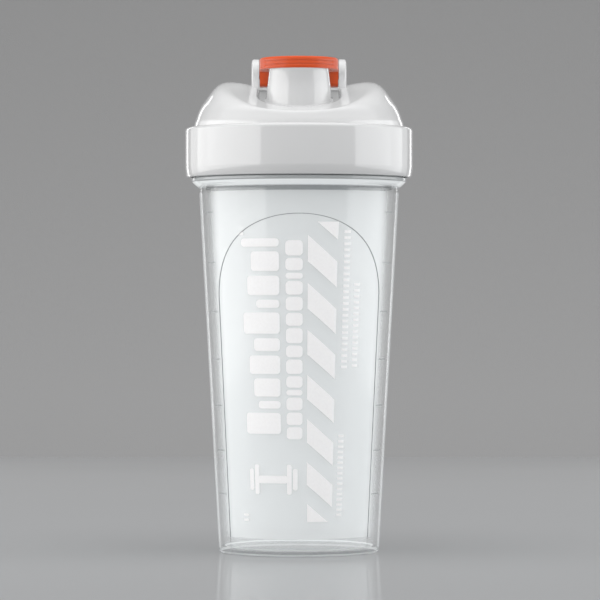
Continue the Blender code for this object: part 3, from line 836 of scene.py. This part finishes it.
def drawn_up(name, outline, low, high):
    """A plan of (x, y) points drawn up from one level to another."""
    middle = tuple(np.mean(outline, axis=0))
    return ring_mesh(name, [[(*middle, low)], [(*p, low) for p in outline],
                            [(*p, high) for p in outline], [(*middle, high)]])


def draw_out(bm, faces, way):
    """Thickens flat faces by drawing them out along a vector."""
    drawn = bmesh.ops.extrude_face_region(bm, geom=faces)["geom"]
    corners = [v for v in drawn if isinstance(v, bmesh.types.BMVert)]
    bmesh.ops.translate(bm, verts=corners, vec=way)


def cap_side():
    """The cap from its side, with its lip, arms and barrel, drawn out past both its sides."""
    arm_low = HINGE[1] - BARREL_RADIUS
    arm_front = HINGE[0] - ARM_REACH
    front_end = SPOUT_Y - CAP_HALF - 2 * MM
    above = CAP_TOP + 1 * MM
    half = CAP_HALF + 1 * MM
    outline = [
        (front_end, CAP_LIP_LOW), (front_end, above), (HINGE[0], above),
        *arc(HINGE, BARREL_RADIUS, 60, -90, 30),
        *arc((arm_front + ARM_ROUND, arm_low + ARM_ROUND), ARM_ROUND, -90, -180, 8),
        (arm_front, CAP_LIP_LOW - ARM_FILLET),
        *arc((arm_front - ARM_FILLET, CAP_LIP_LOW - ARM_FILLET), ARM_FILLET, 0, 90, 6),
    ]
    bm = bmesh.new()
    face = bm.faces.new([bm.verts.new((-half, y, z)) for y, z in outline])
    draw_out(bm, [face], (2 * half, 0, 0))
    bmesh.ops.triangulate(bm, faces=[f for f in bm.faces if len(f.verts) > 4])
    return finished("cap_side", bm)


hollow = drawn_up("cap_hollow", cap_outline(CAP_LIP_WALL, HINGE[0], ARM_INNER),
                  205 * MM, CAP_TOP - CAP_PLATE)
cap_mesh = shaped(
    cap_body(),
    ("INTERSECT", cap_side()),
    ("DIFFERENCE", hollow),
    ("DIFFERENCE", hinge_rod("barrel_bore", BARREL_BORE, -ARM_INNER, ARM_INNER)),
    ("UNION", hinge_rod("pin_left", PIN_RADIUS, -PIN_ENDS[1], -PIN_ENDS[0])),
    ("UNION", hinge_rod("pin_right", PIN_RADIUS, *PIN_ENDS)),
)


def softened(mesh, width, angle=60):
    """The mesh with its sharp edges rounded by a bevel."""
    body = scratch(mesh)
    bevel = body.modifiers.new("edge", "BEVEL")
    bevel.width = width
    bevel.segments = 2
    bevel.limit_method = "ANGLE"
    bevel.angle_limit = radians(angle)
    return applied(body)


ORANGE_DARK = (0.62, 0.070, 0.012)
ORANGE_LIGHT = (0.69, 0.088, 0.016)
cap_finish = Finish("orange_cap_plastic", IOR=1.49, Coat_Weight=0.1, Coat_Roughness=0.12,
                    Specular_IOR_Level=0.35)
cap_finish.vary(
    Base_Color=cap_finish.blend(cap_finish.noise(60, 4), ORANGE_DARK, ORANGE_LIGHT),
    Roughness=cap_finish.noise(500) * 0.12 + 0.26,
)
cap_finish.bump(cap_finish.noise(1500) * 0.5 + cap_finish.noise(120), 0.00005, 0.5)
cap = new_piece("flip_cap_orange", softened(cap_mesh, CAP_EDGE), cap_finish, 40)
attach(cap, "flip_cap")
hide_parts("flip_cap")
cap.visible_diffuse = False  # it leaves the white lid beside it untinted
cap.visible_glossy = False

# ---------------------------------------------------------------------------
# The marks on the cup: a white screen print inside the arched panel, made of plain shapes, and
# raised measuring lines beside the panel, one for each 100 ml. Both wrap round the cone.

FLAT_RADIUS = 40 * MM
INK_THICKNESS = 0.12 * MM
INK_BORDER = 0.36 * MM
MARK_SINK = 0.02 * MM
LINE_THICKNESS = 0.22 * MM
STRIP_WIDTH = 1.5 * MM


def on_cone(flat, sink):
    """Flat (x, y, height) points wrapped on the cup's cone, where shapes shrink as it narrows."""
    radius = FLAT_RADIUS * np.exp(CONE * flat[:, 1] / FLAT_RADIUS)
    level = (radius - BASE_RADIUS) / CONE
    angle = flat[:, 0] / FLAT_RADIUS
    out = radius - sink + flat[:, 2]
    return np.stack([out * np.sin(angle), -out * np.cos(angle), level], axis=1)


def wrapped(name, bm, thickness, sink, border=0.0):
    """Flat faces given a border, cut into strips that can bend, thickened and wrapped round."""
    if border:
        ring = bmesh.ops.inset_individual(bm, faces=bm.faces[:], thickness=border,
                                          use_even_offset=True)
        for face in ring["faces"]:
            face.material_index = 1
    low = min(v.co.x for v in bm.verts)
    high = max(v.co.x for v in bm.verts)
    for x in np.arange(low + 1.1 * MM, high, STRIP_WIDTH):
        everything = bm.verts[:] + bm.edges[:] + bm.faces[:]
        bmesh.ops.bisect_plane(bm, geom=everything, plane_co=(x, 0, 0), plane_no=(1, 0, 0))
    draw_out(bm, bm.faces[:], (0, 0, thickness))
    places = on_cone(np.array([v.co[:] for v in bm.verts]) - (0, 0, MARK_SINK), sink)
    for corner, place in zip(bm.verts, places):
        corner.co = place
    return finished(name, bm)


def flat_face(bm, points):
    bm.faces.new([bm.verts.new((x * MM, y * MM, 0)) for x, y in points])


def rounded(x0, y0, x1, y1, corner, steps=4):
    """A rectangle with round corners, anticlockwise, in millimetres."""
    corner = min(corner, (x1 - x0) / 2 - 0.01, (y1 - y0) / 2 - 0.01)
    centres = ((x1 - corner, y0 + corner, -90), (x1 - corner, y1 - corner, 0),
               (x0 + corner, y1 - corner, 90), (x0 + corner, y0 + corner, 180))
    return [p for x, y, start in centres for p in arc((x, y), corner, start, start + 90, steps)]


# The print's plan, flattened: mm to the right of the cup's middle, and mm up from the level
# where its radius is 40 mm. Bars are (tall, wide), or tall alone.
STRIPES = 6
STRIPE_STEP = 19.45
STRIPE_TOP = 65.1
LARGE_TOP = 63.8
LARGE_EDGE = -8.2
LARGE_GAP = 1.9
LARGE_CORNER = 1.5
LARGE_BARS = [(3.4, 17.0), (8.0, 12.5), (8.0, 14.5), (3.4, 10.5), (9.0, 17.0),
              (5.5, 12.0), (8.0, 14.5), (8.0, 12.5), (3.4, 10.5), (9.5, 17.0)]
SMALL_TOP = 63.0
SMALL_EDGES = (-5.6, 1.6)
SMALL_GAP = 1.0
SMALL_CORNER = 1.6
SMALL_BARS = [6.2, 5.0, 2.4, 5.6, 5.6, 5.4, 6.4, 5.0, 6.2, 5.0, 2.4, 5.6, 5.6, 5.4]
TICKS = [(-25.4, 66.9), (-27.5, -58.6)]
DUMBBELL = [  # (left, low, right, high, corner)
    (-19.5, -42.2, -5.5, -38.6, 0.8),
    (-21.6, -47.4, -19.3, -33.4, 0.9), (-5.7, -47.4, -3.4, -33.4, 0.9),
    (-24.4, -45.4, -22.2, -35.4, 0.9), (-2.8, -45.4, -0.6, -35.4, 0.9),
]
ink = bmesh.new()
flat_face(ink, [(7.4, 70.4), (16.2, 63.2), (16.6, 70.4)])
for i in range(STRIPES):
    top = STRIPE_TOP - STRIPE_STEP * i
    flat_face(ink, [(3.6, top), (3.6, top - 10.6), (16.2, top - 21.4), (16.2, top - 10.9)])
flat_face(ink, [(3.8, -51.7), (3.8, -60.5), (14.1, -60.5)])
top = LARGE_TOP
for tall, wide in LARGE_BARS:
    flat_face(ink, rounded(LARGE_EDGE - wide, top - tall, LARGE_EDGE, top, LARGE_CORNER))
    top -= tall + LARGE_GAP
top = SMALL_TOP
for tall in SMALL_BARS:
    flat_face(ink, rounded(SMALL_EDGES[0], top - tall, SMALL_EDGES[1], top, SMALL_CORNER))
    top -= tall + SMALL_GAP
for x, y in TICKS:
    for middle in (y - 1.2, y + 1.2):
        flat_face(ink, rounded(x - 1.6, middle - 0.6, x + 1.6, middle + 0.6, 0.5))
for left, low, right, high, corner in DUMBBELL:
    flat_face(ink, rounded(left, low, right, high, corner))
# Painted light: the ink glows faintly, so it reads brighter than the cup.
print_finish = Finish("white_ink", Base_Color=(0.97, 0.965, 0.965),
                      Emission_Color=(1, 0.98, 0.98), Emission_Strength=0.10)
print_finish.vary(Roughness=print_finish.noise(400) * 0.2 + 0.35,
                  Alpha=print_finish.noise(900) * 0.10 + 0.84)
# Painted shade: a dark border round each printed shape stands in for the shadow at the ink's edge.
ink_edge_shade_finish = Finish("ink_edge_painted_shade", Base_Color=(0.28, 0.30, 0.30))
ink_edge_shade_finish.vary(Roughness=ink_edge_shade_finish.noise(400) * 0.2 + 0.35,
                 Alpha=ink_edge_shade_finish.noise(900) * 0.10 + 0.55)
print_mesh = wrapped("cup_print", ink, INK_THICKNESS, PANEL_DEPTH, INK_BORDER)
cup_print = new_piece("cup_print", print_mesh, print_finish)
cup_print.data.materials.append(ink_edge_shade_finish.material)
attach(cup_print, "cup")


class Plan:
    """A Geometry Nodes tree that is written one node at a time."""

    def __init__(self, name, **sizes):
        self.tree = bpy.data.node_groups.new(name, "GeometryNodeTree")
        self.sizes = sizes
        kinds = {int: "NodeSocketInt", float: "NodeSocketFloat"}
        self.keys = {}
        for key, value in sizes.items():
            socket = self.tree.interface.new_socket(key, in_out="INPUT",
                                                    socket_type=kinds[type(value)])
            self.keys[key] = socket.identifier
        self.tree.interface.new_socket("Mesh", in_out="OUTPUT", socket_type="NodeSocketGeometry")
        self.source = self.tree.nodes.new("NodeGroupInput")
        self.sink = self.tree.nodes.new("NodeGroupOutput")

    def size(self, key):
        return self.source.outputs[key]

    def node(self, kind, values, settings=()):
        """Any node: its sockets by name or number, and its settings, which are set first."""
        made = self.tree.nodes.new(kind)
        for key, value in dict(settings).items():
            setattr(made, key, value)
        for key, value in values.items():
            if isinstance(value, bpy.types.NodeSocket):
                self.tree.links.new(value, made.inputs[key])
            else:
                made.inputs[key].default_value = value
        return made.outputs[0]

    def mesh(self, name, shape, finish):
        """The plain mesh that the tree makes, realized and with its material set."""
        real = self.node("GeometryNodeRealizeInstances", {"Geometry": shape})
        done = self.node("GeometryNodeSetMaterial", {"Geometry": real, "Material": finish.material})
        self.tree.links.new(done, self.sink.inputs[0])
        body = scratch(bpy.data.meshes.new(name))
        plan = body.modifiers.new("plan", "NODES")
        plan.node_group = self.tree
        for key, value in self.sizes.items():
            plan[self.keys[key]] = value
        return applied(body)


def repeated(name, finish, count, pitch, width, height, x, y):
    """A column of equal bars, as flat faces: the first is centred on (x, y) in millimetres."""
    plan = Plan(name, Count=count, Pitch=pitch * MM, Width=width * MM, Height=height * MM)
    drop = plan.node("ShaderNodeMath", {0: plan.size("Pitch"), 1: -1.0}, {"operation": "MULTIPLY"})
    down = plan.node("ShaderNodeCombineXYZ", {"Y": drop})
    points = plan.node("GeometryNodeMeshLine", {
        "Count": plan.size("Count"), "Start Location": (x * MM, y * MM, 0), "Offset": down})
    bar = plan.node("GeometryNodeMeshGrid", {
        "Size X": plan.size("Width"), "Size Y": plan.size("Height"),
        "Vertices X": 2, "Vertices Y": 2})
    bars = plan.node("GeometryNodeInstanceOnPoints", {"Points": points, "Instance": bar})
    bm = bmesh.new()
    bm.from_mesh(plan.mesh(name, bars, finish))
    return bm


LINE_COUNT = 7
LINE_PITCH = 20.45
LINE_SIZE = (7.0, 0.6)
LINE_SIDE = 44.6
LINE_TOP = 74.6
line_finish = Finish("raised_line_plastic", Base_Color=(0.42, 0.45, 0.45), IOR=1.49)
line_finish.vary(Roughness=line_finish.noise(60) * 0.1 + 0.12,
                 Alpha=line_finish.noise(300) * 0.1 + 0.32)
for name, side in (("measure_lines_right", LINE_SIDE), ("measure_lines_left", -LINE_SIDE)):
    lines = repeated(name, line_finish, LINE_COUNT, LINE_PITCH, *LINE_SIZE, side, LINE_TOP)
    piece = new_piece(name, wrapped(name, lines, LINE_THICKNESS, 0), line_finish)
    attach(piece, "cup")

DASH_PITCH = 2.45
DASH_SIZE = (2.9, 1.1)
DASHES = {
    # name: (x and y of the first, count)
    "small_dashes_top": (20.6, 66.5, 24),
    "small_dashes_middle": (26.0, 45.0, 15),
    "small_dashes_low": (20.0, -20.5, 16),
}
for name, (x, y, count) in DASHES.items():
    dashes = repeated(name, print_finish, count, DASH_PITCH, *DASH_SIZE, x, y)
    piece = new_piece(name, wrapped(name, dashes, INK_THICKNESS, PANEL_DEPTH), print_finish)
    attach(piece, "cup")
